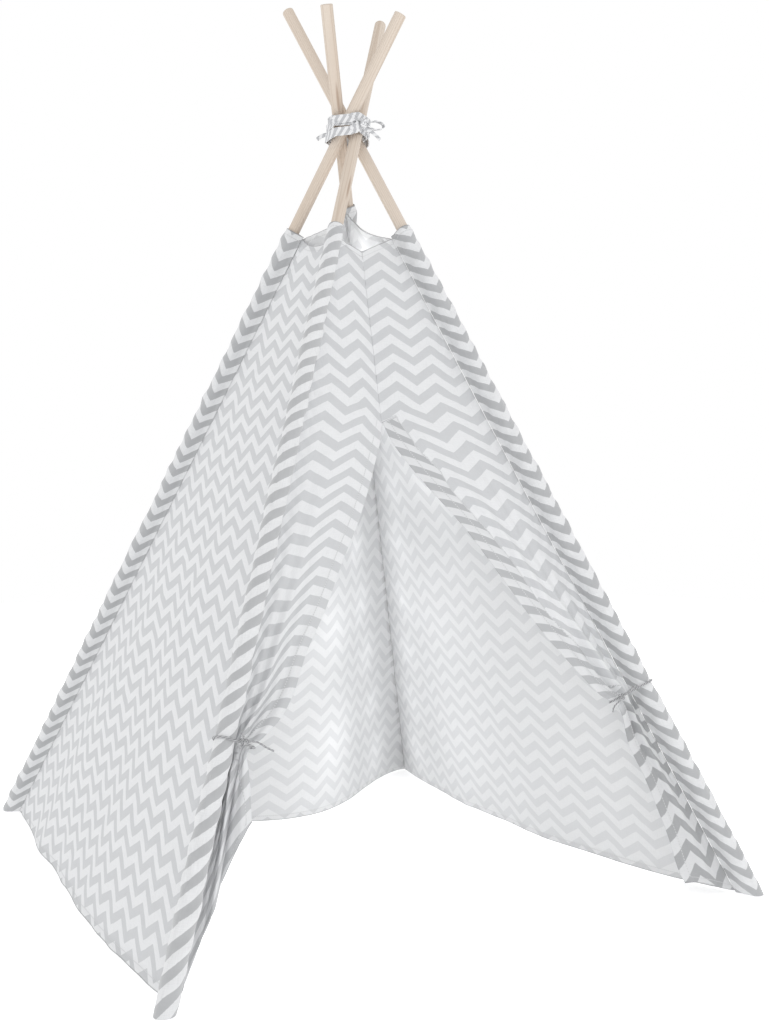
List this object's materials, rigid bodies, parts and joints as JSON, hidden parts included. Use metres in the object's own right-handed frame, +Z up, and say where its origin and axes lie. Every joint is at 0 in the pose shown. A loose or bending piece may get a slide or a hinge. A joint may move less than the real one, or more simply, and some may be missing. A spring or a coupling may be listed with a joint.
{
  "type": "play teepee",
  "caption": "Foldable play tent with long crossed poles bound near the top, a zigzag cloth cover sewn to pole sleeves and a doorway with tied-back flaps.",
  "frame": {"origin": "middle of the base on the floor, between the four pole pockets", "axes": "+Z up, the doorway faces -Y, +X to the right of someone who looks at the doorway from outside"},
  "size_m": [1.0089, 1.1967, 1.5998],
  "materials": {
    "chevron_cloth": "matte woven cotton canvas with a printed zigzag stripe",
    "sleeve_cloth": "matte woven cotton canvas with a printed zigzag stripe",
    "hem_cloth": "matte woven cotton canvas, folded and stitched",
    "pole_wood": "bare sanded pine, pale, no varnish",
    "ferrule_metal": "plain drawn aluminium tube",
    "tie_cloth": "folded cotton strip and string"
  },
  "bodies": {
    "crown": {"lashing_wrap": "tie_cloth", "lashing_knot": "tie_cloth", "lashing_loop": "tie_cloth", "lashing_end_left": "tie_cloth", "lashing_end_right": "tie_cloth"},
    "leg_front_left": {"pole_lower_front_left": "pole_wood", "pole_upper_front_left": "pole_wood", "ferrule_front_left": "ferrule_metal", "sleeve_front_left": "sleeve_cloth", "front_panel_left": "chevron_cloth", "tie_string_left": "tie_cloth", "tie_knot_left": "tie_cloth", "tie_end_left_1": "tie_cloth", "tie_end_left_2": "tie_cloth"},
    "leg_front_right": {"pole_lower_front_right": "pole_wood", "pole_upper_front_right": "pole_wood", "ferrule_front_right": "ferrule_metal", "sleeve_front_right": "sleeve_cloth", "front_panel_right": "chevron_cloth", "tie_string_right": "tie_cloth", "tie_knot_right": "tie_cloth", "tie_end_right_1": "tie_cloth", "tie_end_right_2": "tie_cloth"},
    "leg_back_left": {"pole_lower_back_left": "pole_wood", "pole_upper_back_left": "pole_wood", "ferrule_back_left": "ferrule_metal", "sleeve_back_left": "sleeve_cloth", "panel_back": "chevron_cloth"},
    "leg_back_right": {"pole_lower_back_right": "pole_wood", "pole_upper_back_right": "pole_wood", "ferrule_back_right": "ferrule_metal", "sleeve_back_right": "sleeve_cloth"},
    "side_left": {"panel_left": "chevron_cloth"},
    "side_right": {"panel_right": "chevron_cloth"},
    "door_edge_left": {"door_hem_left": "hem_cloth"},
    "door_edge_right": {"door_hem_right": "hem_cloth"}
  },
  "joints": [
    {"name": "fold_front_left", "type": "hinge", "parent": "crown", "child": "leg_front_left", "pos_m": [-0.006, -0.095, 1.34], "axis": [1, 0, 0], "range_deg": [0, 15.6]},
    {"name": "fold_front_right", "type": "hinge", "parent": "crown", "child": "leg_front_right", "pos_m": [-0.006, -0.095, 1.34], "axis": [1, 0, 0], "range_deg": [0, 15.6]},
    {"name": "fold_back_left", "type": "hinge", "parent": "crown", "child": "leg_back_left", "pos_m": [-0.006, -0.095, 1.34], "axis": [-1, 0, 0], "range_deg": [0, 20.75], "deforming": ["panel_back"]},
    {"name": "fold_back_right", "type": "hinge", "parent": "crown", "child": "leg_back_right", "pos_m": [-0.006, -0.095, 1.34], "axis": [-1, 0, 0], "range_deg": [0, 20.75]},
    {"name": "fold_side_left", "type": "hinge", "parent": "crown", "child": "side_left", "pos_m": [-0.006, -0.095, 1.34], "axis": [0, -1, 0], "range_deg": [0, 1.66], "deforming": ["panel_left"]},
    {"name": "fold_side_right", "type": "hinge", "parent": "crown", "child": "side_right", "pos_m": [-0.006, -0.095, 1.34], "axis": [0, 1, 0], "range_deg": [0, 1.66], "deforming": ["panel_right"]},
    {"name": "close_door_left", "type": "hinge", "parent": "leg_front_left", "child": "door_edge_left", "pos_m": [-0.01, -0.231, 0.783], "axis": [0.3155, -0.9176, 0.242], "range_deg": [0, 30.6], "deforming": ["door_hem_left", "front_panel_left"]},
    {"name": "close_door_right", "type": "hinge", "parent": "leg_front_right", "child": "door_edge_right", "pos_m": [-0.01, -0.231, 0.783], "axis": [0.2997, 0.9225, -0.2433], "range_deg": [0, 30], "deforming": ["door_hem_right", "front_panel_right"]}
  ],
  "couplings": [
    {"joint": "fold_front_right", "follows": "fold_front_left", "ratio": 1},
    {"joint": "fold_back_left", "follows": "fold_front_left", "ratio": 1.33},
    {"joint": "fold_back_right", "follows": "fold_front_left", "ratio": 1.33},
    {"joint": "fold_side_left", "follows": "fold_front_left", "ratio": 0.106},
    {"joint": "fold_side_right", "follows": "fold_front_left", "ratio": 0.106}
  ]
}
